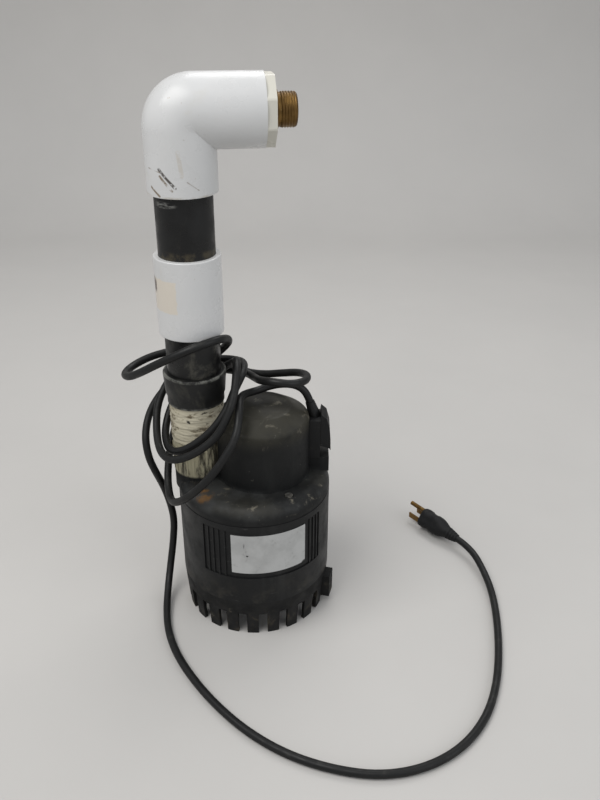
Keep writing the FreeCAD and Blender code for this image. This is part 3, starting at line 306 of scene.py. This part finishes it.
DARK, BROWN, TAN = (0.05, 0.042, 0.034), (0.15, 0.11, 0.065), (0.4, 0.33, 0.23)
SCRAPES = [
    ((-65.4, -25.2, 433.3), (-53.3, -28.7, 419.9), 1.25, DARK, 0.95),
    ((-65.0, -25.4, 428.1), (-55.9, -28.5, 417.5), 1.0, BROWN, 0.9),
    ((-73.3, -18.9, 419.0), (-66.3, -24.7, 412.7), 0.9, BROWN, 0.9),
    ((-74.3, -17.6, 433.1), (-64.8, -25.6, 431.1), 0.45, BROWN, 0.8),
    ((-43.7, -27.7, 424.2), (-35.4, -23.9, 417.3), 0.4, BROWN, 0.7),
    ((-49.6, -28.7, 446.6), (-47.5, -28.5, 428.9), 1.6, TAN, 0.3),
]


def pvc_material(name, scratches=False, patch=False, cream=0.0):
    s = Shade(name, rough=0.3, specular=0.5)
    tone = s.mix((0.575, 0.573, 0.57), (0.52, 0.52, 0.515), s.range(s.noise(9, 4, 0.5), 0.35, 0.7))
    if cream:
        tone = s.mix(tone, (0.55, 0.52, 0.42), cream)
    dirt = s.range(s.noise(26, 7, 0.66, move=(0.5, 0.2, 0.4), warp=0.3), 0.56, 0.75)
    tone = s.mix(tone, (0.47, 0.44, 0.36), s.math("MULTIPLY", dirt, 0.35))
    speck = s.range(s.noise(210, 4, 0.6, move=(2, 1, 0)), 0.71, 0.76)
    tone = s.mix(tone, (0.3, 0.22, 0.14), s.math("MULTIPLY", speck, 0.6))
    if scratches:
        # dark scrapes across the lower left of the hub, on its front side
        rubbed = s.range(s.noise(230, 5, 0.65, warp=0.3), 0.36, 0.52)
        for start, end, width, tint, depth in SCRAPES:
            line = s.math("MULTIPLY", s.stroke(start, end, width), depth)
            tone = s.mix(tone, tint, s.math("MULTIPLY", line, rubbed))
        seam = s.stroke((-44.7, -28.0, 455.8), (-27.5, -15.0, 445.5), 0.35, 0.3)
        tone = s.mix(tone, (0.33, 0.31, 0.26), s.math("MULTIPLY", seam, 0.55))
        rim = s.band(s.axis("Z"), 0.405, 0.4126, 0.0008)
        grimy = s.range(s.noise(70, 5, 0.6), 0.4, 0.65)
        tone = s.mix(tone, (0.3, 0.26, 0.19), times(s, rim, grimy, 0.6))
    if patch:
        x, z = s.axis("X"), s.axis("Z")
        front = s.range(s.axis("Y"), 0.002, -0.002)
        wobble = s.math("MULTIPLY_ADD", s.noise(140, 4, 0.6), 0.004, -0.002)
        zone = times(s, s.band(s.math("ADD", x, wobble), -0.0815, -0.0585, 0.0006),
                     s.band(s.math("ADD", z, wobble), 0.3145, 0.3425, 0.0006), front)
        tone = s.mix(tone, (0.6, 0.53, 0.43), s.math("MULTIPLY", zone, 0.7))
        rip = times(s, s.near((-78.2, -10, 336), (3.2, 9, 8.5)),
                    s.range(s.noise(160, 4, 0.6, (1, 1, 0.3)), 0.4, 0.5))
        tone = s.mix(tone, (0.07, 0.045, 0.035), rip)
    s.colour(tone)
    s.rough(s.range(s.noise(35, 5, 0.6), 0.35, 0.7, 0.24, 0.42))
    s.bump(s.noise(420, 2, 0.5), 0.04, 0.0002)
    return s.material


def tape_material():
    s = Shade("tape_cream", rough=0.6, specular=0.3)
    tone = s.mix((0.4, 0.36, 0.25), (0.55, 0.51, 0.41), s.noise(45, 5, 0.6, (1, 1, 1.6)))
    grime = s.range(s.noise(60, 7, 0.7, (1, 1, 2.2), (0.3, 0.3, 0.1), 0.5), 0.5, 0.62)
    tone = s.mix(tone, (0.11, 0.085, 0.05), s.math("MULTIPLY", grime, 0.9))
    dark = s.range(s.noise(95, 5, 0.6, (1, 1, 1.8), (1.1, 0.2, 0.3), 0.4), 0.6, 0.67)
    tone = s.mix(tone, (0.02, 0.018, 0.015), dark)
    s.colour(tone)
    s.bump(s.noise(90, 4, 0.6, (0.5, 0.5, 3.0)), 0.55, 0.0012)
    s.bump(s.noise(500, 3, 0.6), 0.2, 0.0003)
    return s.material


def brass_material():
    s = Shade("brass_dull", rough=0.42, metallic=1.0)
    dull = s.range(s.noise(70, 5, 0.6), 0.35, 0.65)
    tone = s.mix((0.21, 0.125, 0.042), (0.115, 0.066, 0.024), dull)
    bright = s.range(s.noise(160, 4, 0.6, move=(1, 2, 3)), 0.58, 0.72)
    tone = s.mix(tone, (0.32, 0.22, 0.09), bright)
    s.colour(tone)
    s.rough(s.range(s.noise(120, 4, 0.6), 0.3, 0.7, 0.34, 0.6))
    s.bump(s.noise(600, 3, 0.5), 0.12, 0.0002)
    return s.material


def cord_material():
    s = Shade("cord_jacket", rough=0.5, specular=0.26)
    tone = s.mix((0.011, 0.0112, 0.0115), (0.022, 0.022, 0.021), s.noise(35, 5, 0.6))
    dust = s.range(s.noise(90, 6, 0.65, move=(0.2, 0.4, 0)), 0.55, 0.75)
    up = s.range(s.axis("Z", s.normal), 0.0, 0.9)
    tone = s.mix(tone, (0.075, 0.073, 0.065), times(s, dust, up, 0.7))
    s.colour(s.mix(tone, BLACK, 0.55))
    s.rough(s.range(s.noise(70, 4, 0.6), 0.35, 0.7, 0.4, 0.62))
    s.bump(s.noise(900, 2, 0.5), 0.08, 0.0002)
    return s.material


def rubber_material():
    s = Shade("rubber_black", rough=0.6, specular=0.24)
    tone = s.mix((0.01, 0.0102, 0.011), (0.02, 0.02, 0.0205), s.noise(80, 5, 0.6))
    dust = s.range(s.noise(130, 6, 0.65), 0.58, 0.75)
    tone = s.mix(tone, (0.07, 0.068, 0.06), s.math("MULTIPLY", dust, 0.5))
    s.colour(s.mix(tone, BLACK, 0.55))
    s.bump(s.noise(800, 3, 0.5), 0.15, 0.0002)
    return s.material


def label_material():
    s = Shade("label_plain", rough=0.5, specular=0.4)
    faded = s.range(s.noise(38, 6, 0.65), 0.4, 0.68)
    tone = s.mix((0.42, 0.422, 0.415), (0.345, 0.346, 0.34), faded)
    grime = s.range(s.noise(110, 7, 0.7, move=(0.1, 0.5, 0.7)), 0.56, 0.7)
    tone = s.mix(tone, (0.22, 0.22, 0.21), s.math("MULTIPLY", grime, 0.6))
    spot = s.range(s.noise(150, 2, 0.4, move=(2.2, 0.4, 1.1)), 0.735, 0.76)
    tone = s.mix(tone, (0.02, 0.02, 0.02), spot)
    scrape = times(s, s.near((-6, -72, 97), (3.4, 12, 15)),
                   s.range(s.noise(150, 3, 0.5, (1, 1, 0.16)), 0.57, 0.63))
    tone = s.mix(tone, (0.05, 0.05, 0.05), scrape)
    tone = s.mix(tone, (0.012, 0.012, 0.012), s.near((48.6, -52.6, 75.2), (4.2, 4.2, 3.0)))
    s.colour(tone)
    s.rough(s.range(s.noise(60, 4, 0.6), 0.35, 0.7, 0.38, 0.62))
    return s.material


def metal_material(name, low, high, rough):
    s = Shade(name, rough=rough, metallic=1.0)
    s.colour(s.mix(low, high, s.noise(90, 5, 0.6)))
    s.rough(s.range(s.noise(140, 4, 0.6), 0.3, 0.7, rough - 0.1, rough + 0.15))
    s.bump(s.noise(500, 3, 0.5), 0.08, 0.0002)
    return s.material


def plain_material(name, low, high, rough):
    s = Shade(name, rough=rough)
    s.colour(s.mix(low, high, s.noise(70, 5, 0.6)))
    s.rough(s.range(s.noise(90, 4, 0.6), 0.3, 0.7, rough - 0.1, rough + 0.15))
    s.bump(s.noise(300, 3, 0.5), 0.12, 0.0003)
    return s.material


HOUSING, SHELL, BASE = housing_material(), shell_material(), base_material()
PIPE, COLLAR = pipe_material(), collar_material()
ELBOW = pvc_material("pvc_elbow", scratches=True)
COUPLING = pvc_material("pvc_coupling", patch=True)
BUSHING = pvc_material("pvc_bushing", cream=0.6)
TAPE, BRASS = tape_material(), brass_material()
CORD, RUBBER, LABEL = cord_material(), rubber_material(), label_material()
STEEL = metal_material("screw_steel", (0.2, 0.19, 0.17), (0.42, 0.41, 0.38), 0.42)
LAMINATION = metal_material("lamination_steel", (0.3, 0.31, 0.33), (0.48, 0.49, 0.5), 0.4)
COPPER = metal_material("winding_copper", (0.42, 0.17, 0.07), (0.62, 0.29, 0.14), 0.4)
BRONZE = metal_material("bush_bronze", (0.4, 0.25, 0.1), (0.55, 0.37, 0.18), 0.45)
CASTING = plain_material("casting_grey", (0.06, 0.062, 0.065), (0.13, 0.13, 0.13), 0.6)
CERAMIC = plain_material("ceramic_pale", (0.6, 0.58, 0.52), (0.72, 0.7, 0.64), 0.35)
NYLON = plain_material("nylon_grey", (0.05, 0.05, 0.055), (0.1, 0.1, 0.105), 0.45)

FINISH = {
    "base_strainer": BASE, "base_screws": STEEL, "motor_shell": SHELL, "blank_label": LABEL,
    "upper_housing": HOUSING, "housing_gasket": RUBBER, "housing_screws": STEEL,
    "suction_plate": BASE, "volute_gasket": RUBBER, "volute_casing": CASTING, "riser_seal": RUBBER,
    "motor_end_plate": CASTING, "motor_can": LAMINATION, "stator_core": LAMINATION,
    "stator_windings": COPPER, "lower_bush": BRONZE, "upper_bush": BRONZE, "seal_seat": CERAMIC,
    "motor_bolts": STEEL, "overload_protector": RUBBER, "rotor_shaft": LAMINATION,
    "rotor_core": LAMINATION, "impeller": NYLON, "impeller_nut": BRASS, "seal_ring": RUBBER,
    "thread_tape": TAPE, "adapter_collar": COLLAR, "lower_pipe": PIPE, "pipe_coupling": COUPLING,
    "upper_pipe": PIPE, "elbow": ELBOW, "reducing_bushing": BUSHING, "hose_adapter": BRASS,
    "cord_gland": RUBBER, "cord_clamp": RUBBER, "strain_relief": CORD, "plug_body": RUBBER,
    "plug_blades": BRASS, "ground_pin": BRASS,
}
for node, material in FINISH.items():
    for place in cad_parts[node].material_slots:
        place.material = material


def smooth(obj, angle=32.0):
    """Soft shading with hard edges kept, from the mesh's own face angles."""
    mesh = obj.data
    mesh.shade_smooth()
    mesh.set_sharp_from_angle(angle=math.radians(angle))


# ---------------------------------------------------------------- mesh helpers
def make_object(name, bm, material, angle):
    """An object from a bmesh, riding on the pump's body."""
    mesh = bpy.data.meshes.new(name)
    bmesh.ops.recalc_face_normals(bm, faces=bm.faces)
    bm.to_mesh(mesh)
    bm.free()
    obj = bpy.data.objects.new(name, mesh)
    bpy.context.scene.collection.objects.link(obj)
    mesh.materials.append(material)
    smooth(obj, angle)
    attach(obj, "pump")
    return obj


def frame_along(start, end):
    """Matrix whose +Z runs from start to end, in metres."""
    start, end = Vector(start), Vector(end)
    turn = (end - start).normalized().to_track_quat("Z", "Y").to_matrix().to_4x4()
    return Matrix.Translation(start) @ turn


def lathe(bm, rings, matrix, steps, wave):
    """A closed surface of revolution through (radius, height) rings, in millimetres."""
    loops = []
    for radius, height in rings:
        if radius <= 0:
            loops.append([bm.verts.new(matrix @ Vector((0, 0, height * MM)))])
            continue
        loop = []
        for step in range(steps):
            a = 2 * math.pi * step / steps
            r, z = wave(radius, height, a)
            loop.append(bm.verts.new(matrix @ Vector((r * math.cos(a) * MM, r * math.sin(a) * MM,
                                                      z * MM))))
        loops.append(loop)
    for low, high in zip(loops, loops[1:]):
        count = max(len(low), len(high))
        for step in range(count):
            nxt = (step + 1) % count
            if len(low) == 1:
                bm.faces.new((low[0], high[step], high[nxt]))
            elif len(high) == 1:
                bm.faces.new((low[step], high[0], low[nxt]))
            else:
                bm.faces.new((low[step], high[step], high[nxt], low[nxt]))
    return loops


# ---------------------------------------------------------------- power cord
LEAD = [(53, 9, 214), (50, 9.3, 223), (42, 10, 230), (30, 12, 231), (17, 14, 228), (4, 8, 225.5)]
LOW_TURN = [(-8, -6, 229), (-10, -23, 232), (-9, -41, 227), (-11, -56, 213), (-22, -64, 195),
            (-35, -66, 177), (-49, -62, 160), (-62, -54, 145), (-73, -42, 134), (-79, -26, 131),
            (-83, -7, 139), (-83, 13, 156), (-78, 29, 176), (-71, 39, 195), (-56, 42, 212),
            (-41, 36.5, 227), (-26, 28, 241), (-15, 15, 253)]
MIDDLE_TURN = [(-13, -2, 262), (-12, -19, 258), (-13, -32, 244), (-18, -42, 228), (-27, -48, 211),
               (-41, -50, 198), (-55, -48, 188), (-69, -43, 181), (-79, -33, 178), (-87, -17, 180),
               (-91, 1, 189), (-92, 18, 203), (-86, 32, 217), (-75, 42, 229), (-58, 45, 237),
               (-41, 43.5, 241), (-24, 38, 244), (-11, 27, 247)]
INNER_TURN = [(-7, 12, 250), (-8, -6, 249), (-14, -19, 241), (-20, -29, 227), (-31, -37, 212),
              (-46, -38.5, 198), (-60, -36, 187.5), (-71.5, -28.5, 181), (-79.5, -14.5, 179),
              (-83.5, 2, 185), (-81, 18.5, 198), (-72, 30, 213), (-57.5, 35.5, 229),
              (-41, 35, 245), (-27, 25, 261)]
UPPER_TURN = [(-20, 10, 274.5), (-20, -8, 285.5), (-27, -27, 292), (-43, -37, 290), (-61, -38, 282),
              (-79, -32, 271), (-96, -22, 258), (-110, -10, 247.5), (-117, 6, 243), (-113, 22, 243),
              (-100, 35, 246), (-83, 44, 248), (-65, 51, 248), (-47, 55, 243), (-29, 55, 234),
              (-11, 47, 226)]
DOME_LOOP = [(8, 39, 227), (26, 34, 231), (42, 26, 236), (51, 10, 241), (49, -9, 244),
             (36, -21, 247), (19, -20, 249), (8, -8, 244), (2, 8, 239)]
TAIL = [(-5, 23, 236), (-17, 36, 232), (-32, 44, 230), (-47, 48, 229), (-62, 51, 225),
        (-78, 48, 217), (-92, 38, 206), (-101, 22, 194), (-103, 3, 180), (-100, -5, 161),
        (-96, 1, 141), (-91, 9, 119), (-87, 14, 97), (-84, 15, 74), (-86, 11, 50), (-89, 0, 27),
        (-90, -20, 11), (-88, -46, 4.5), (-82, -74, 3.9), (-69, -104, 3.9), (-50, -133, 3.9),
        (-28, -160, 3.9), (0, -187, 3.9), (33, -209, 3.9), (70, -223, 3.9), (109, -229, 3.9),
        (146, -222, 3.9), (179, -203, 3.9), (205, -173, 3.9), (222, -136, 3.9), (233, -94, 3.9),
        (240, -52, 3.9), (243, -16, 4.6), (240, 16, 7.4), (231.4, 46.7, 12.4)]
PLUG_TIP = (187.6, 103.0, 12.6)
PLUG_REAR = (219.2, 62.5, 12.6)
ROUTE = [*LEAD, *LOW_TURN, *MIDDLE_TURN, *INNER_TURN, *UPPER_TURN, *DOME_LOOP, *TAIL, PLUG_REAR]

cord_data = bpy.data.curves.new("power_cord", "CURVE")
cord_data.dimensions = "3D"
spline = cord_data.splines.new("NURBS")
spline.points.add(len(ROUTE) - 1)
for point, place in zip(spline.points, ROUTE):
    point.co = (*(value * MM for value in place), 1.0)
spline.order_u = 3
spline.use_endpoint_u = True
spline.resolution_u = 6
cord_data.bevel_depth = 0.0036
cord_data.bevel_resolution = 5
cord_data.use_fill_caps = True
cord_data.materials.append(CORD)
power_cord = bpy.data.objects.new("power_cord", cord_data)
bpy.context.scene.collection.objects.link(power_cord)
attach(power_cord, "pump")
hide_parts("cord_lead", "cord_low_turn", "cord_middle_turn", "cord_inner_turn",
            "cord_upper_turn", "cord_dome_loop", "cord_tail")

# ---------------------------------------------------------------- plug
plug_turn = frame_along([v * MM for v in PLUG_REAR], [v * MM for v in PLUG_TIP])
PLUG_RINGS = [(0, 0), (3.9, 0), (4.5, 0.5), (4.9, 2.0), (4.6, 2.6), (4.6, 3.4), (5.3, 3.9),
              (5.6, 5.4), (5.2, 6.0), (5.2, 6.8), (5.9, 7.3), (6.2, 8.8), (5.8, 9.4), (5.8, 10.2),
              (6.5, 10.7), (6.8, 12.4), (6.6, 13.6), (6.9, 15.0), (8.0, 18.0), (9.8, 22.0),
              (11.2, 26.0), (12.0, 30.0), (12.0, 34.0), (11.2, 36.0), (11.2, 42.5), (12.2, 44.5),
              (12.3, 49.6), (11.8, 50.7), (10.6, 51.0), (0, 51.0)]


GRIP_TURN = math.radians(35.0)
GRIP_LOW, GRIP_RISE = 15.0, 14.0


def squared(radius, height, angle):
    """The grip is rounder at the cord and flatter on two sides towards the blades."""
    share = min(max((height - GRIP_LOW) / GRIP_RISE, 0.0), 1.0)
    wave = math.cos(2 * (angle - GRIP_TURN))
    flat = 1.0 - share * (0.12 * wave ** 2 + 0.05 * (1 + wave))
    return radius * flat, height


bm = bmesh.new()
lathe(bm, PLUG_RINGS, plug_turn, 72, squared)
plug = make_object("plug_moulding", bm, RUBBER, angle=50)
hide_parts("plug_body")

# ---------------------------------------------------------------- hose outlet with its thread
YAW = math.radians(9.0)


def arm_point(along):
    return (PIPE_X + along * math.cos(YAW)) * MM, along * math.sin(YAW) * MM, ARM_Z * MM


arm_turn = frame_along(arm_point(0.0), arm_point(100.0))
PITCH, THREAD_MEAN_R, THREAD_DEPTH = 2.2, 13.44, 0.28
THREAD_LOW, THREAD_TOP, THREAD_FADE = 79.4, 91.0, 1.2
BORE_R, SPIGOT_R, SPIGOT_END = 9.5, 13.2, 52.1


def threaded(radius, height, angle):
    """A rounded hose thread between two heights, fading in and out."""
    if radius < 12.4 or not THREAD_LOW < height < THREAD_TOP:
        return radius, height
    fade = min((height - THREAD_LOW) / THREAD_FADE, (THREAD_TOP - height) / THREAD_FADE, 1.0)
    phase = math.cos(2 * math.pi * (height / PITCH - angle / (2 * math.pi)))
    return THREAD_MEAN_R + THREAD_DEPTH * phase * fade, height


rings = [(BORE_R, SPIGOT_END), (SPIGOT_R, SPIGOT_END), (SPIGOT_R, 74.1), (15.2, 74.1),
         (15.6, 74.5), (15.6, 76.4), (15.2, 76.8), (SPIGOT_R, 76.9), (12.9, 79.2)]
rings += [(13.3, THREAD_LOW + 0.2 * step) for step in range(58)]
rings += [(13.1, 91.2), (12.6, 91.9), (12.0, 92.2), (9.9, 92.2), (BORE_R, 91.8),
          (BORE_R, SPIGOT_END)]
bm = bmesh.new()
lathe(bm, rings, arm_turn, 96, threaded)
bmesh.ops.remove_doubles(bm, verts=bm.verts, dist=1e-6)
outlet = make_object("outlet_thread", bm, BRASS, angle=40)
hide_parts("hose_adapter")

# ---------------------------------------------------------------- wrapped tape on the neck
column = Matrix.Translation((PIPE_X * MM, 0, 0))
TAPE_LOW, TAPE_TOP, TAPE_IN_R = 184.5, 222.0, 24.15
LAP_PITCH, LAP_STEP, TAPE_STEPS = 6.3, 0.45, 96


def wrapped(radius, height, angle):
    """Overlapping turns of thin tape, with creases."""
    if radius < 24.5:
        return radius, height
    turn = (height - TAPE_LOW) / LAP_PITCH - angle / (2 * math.pi)
    step = turn - math.floor(turn)
    crease = 0.16 * math.sin(5 * angle + height * 0.55) * math.sin(height * 1.3 + 2 * angle)
    sway = 0.5 * math.sin(3 * angle) * (TAPE_LOW + 0.3 < height < TAPE_TOP - 0.5)
    return radius - LAP_STEP * step + crease, height + sway


tape_rings = [(TAPE_IN_R, TAPE_LOW), (24.85, 184.6)]
tape_rings += [(24.95, 185.2 + 0.6 * step) for step in range(61)]
tape_rings += [(24.85, 221.9), (TAPE_IN_R, TAPE_TOP)]
bm = bmesh.new()
loops = lathe(bm, tape_rings, column, TAPE_STEPS, wrapped)
for step in range(TAPE_STEPS):
    nxt = (step + 1) % TAPE_STEPS
    bm.faces.new((loops[-1][step], loops[0][step], loops[0][nxt], loops[-1][nxt]))
tape = make_object("wrapped_tape", bm, TAPE, angle=60)
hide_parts("thread_tape")

for node in FINISH:
    smooth(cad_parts[node])
    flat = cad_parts[node].modifiers.new("flat_faces", "WEIGHTED_NORMAL")
    flat.keep_sharp = True

# ---------------------------------------------------------------- floor, light, camera
floor_shade = Shade("floor_pale", rough=0.75, specular=0.25)
floor_shade.colour(floor_shade.mix((0.5, 0.485, 0.465), (0.46, 0.447, 0.43),
                                   floor_shade.noise(6, 6, 0.6)))
bm = bmesh.new()
HALF, COVE_Y, COVE_R = 3.0, 1.2, 0.5
profile = [(-HALF, 0.0), (COVE_Y, 0.0)]
profile += [(COVE_Y + COVE_R * math.sin(math.radians(a)),
             COVE_R - COVE_R * math.cos(math.radians(a))) for a in range(6, 91, 6)]
profile += [(COVE_Y + COVE_R, HALF)]
rows = [[bm.verts.new((x, y, z)) for y, z in profile] for x in (-HALF, HALF)]
for index in range(len(profile) - 1):
    bm.faces.new((rows[0][index], rows[1][index], rows[1][index + 1], rows[0][index + 1]))
mesh = bpy.data.meshes.new("studio_floor")
bm.to_mesh(mesh)
bm.free()
mesh.shade_smooth()
mesh.materials.append(floor_shade.material)
floor = bpy.data.objects.new("studio_floor", mesh)
bpy.context.scene.collection.objects.link(floor)


def soft_light(name, at, towards, size, power, tint=(1, 1, 1)):
    data = bpy.data.lights.new(name, "AREA")
    data.shape = "RECTANGLE"
    data.size, data.size_y = size
    data.energy = power
    data.color = tint
    lamp = bpy.data.objects.new(name, data)
    lamp.location = at
    lamp.rotation_euler = (Vector(towards) - Vector(at)).to_track_quat("-Z", "Y").to_euler()
    bpy.context.scene.collection.objects.link(lamp)


soft_light("key", (-0.7, -0.6, 1.7), (0, 0, 0.2), (1.3, 1.0), 22, (1.0, 0.99, 0.97))
soft_light("fill", (1.3, -0.9, 1.0), (0, 0, 0.2), (1.2, 1.2), 8, (0.96, 0.98, 1.0))
soft_light("back", (0.3, 0.9, 1.5), (0, 0, 0.3), (1.2, 0.8), 9)

scene = bpy.context.scene
scene.view_settings.view_transform = "Standard"
world = bpy.data.worlds.new("studio")
world.use_nodes = True
world.node_tree.nodes["Background"].inputs["Color"].default_value = (0.9, 0.93, 0.97, 1)
world.node_tree.nodes["Background"].inputs["Strength"].default_value = 0.55
scene.world = world

CAMERA_DOWN, CAMERA_ROLL = 28.24, 0.31
camera = bpy.data.objects.new("camera", bpy.data.cameras.new("camera"))
camera.data.lens = 36.0
camera.data.sensor_width = 36.0
camera.location = (0.0438, -0.6482, 0.56835)
camera.rotation_mode = "QUATERNION"
camera.rotation_quaternion = (Matrix.Rotation(math.radians(90 - CAMERA_DOWN), 4, "X")
                              @ Matrix.Rotation(math.radians(CAMERA_ROLL), 4, "Z")).to_quaternion()
scene.collection.objects.link(camera)
scene.camera = camera
